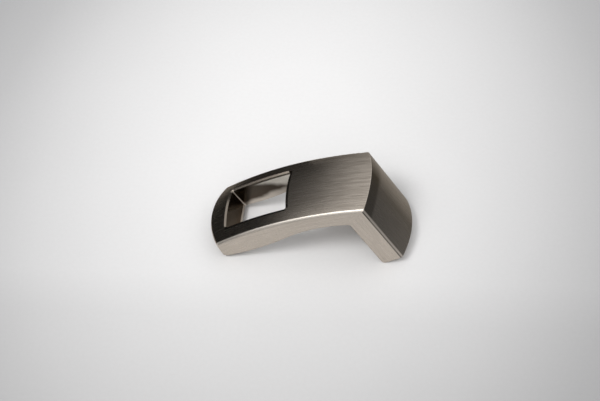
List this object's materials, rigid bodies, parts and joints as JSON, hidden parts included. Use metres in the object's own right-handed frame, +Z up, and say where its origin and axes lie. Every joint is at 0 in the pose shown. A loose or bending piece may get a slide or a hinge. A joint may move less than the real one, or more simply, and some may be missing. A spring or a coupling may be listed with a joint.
{
  "type": "cabinet knob",
  "caption": "One-piece metal cabinet knob: a bowed arm with a rectangular window, held off the door by a short leg that takes a screw.",
  "frame": {"origin": "on the table, under the centre of the knob's bounding box, with the knob lying as it rests when it is not fixed", "axes": "+X along the knob toward the leg, +Y across its width away from the viewer, +Z up. The leg leans back over the table, and its foot faces down and outward along the axis of the mount screw_hole"},
  "size_m": [0.0562, 0.022, 0.0235],
  "materials": {
    "brushed_nickel": "satin nickel plate on zinc casting, brushed along the arm and down the leg, polished inside the window"
  },
  "bodies": {
    "root": {"knob": "brushed_nickel"}
  },
  "joints": []
}
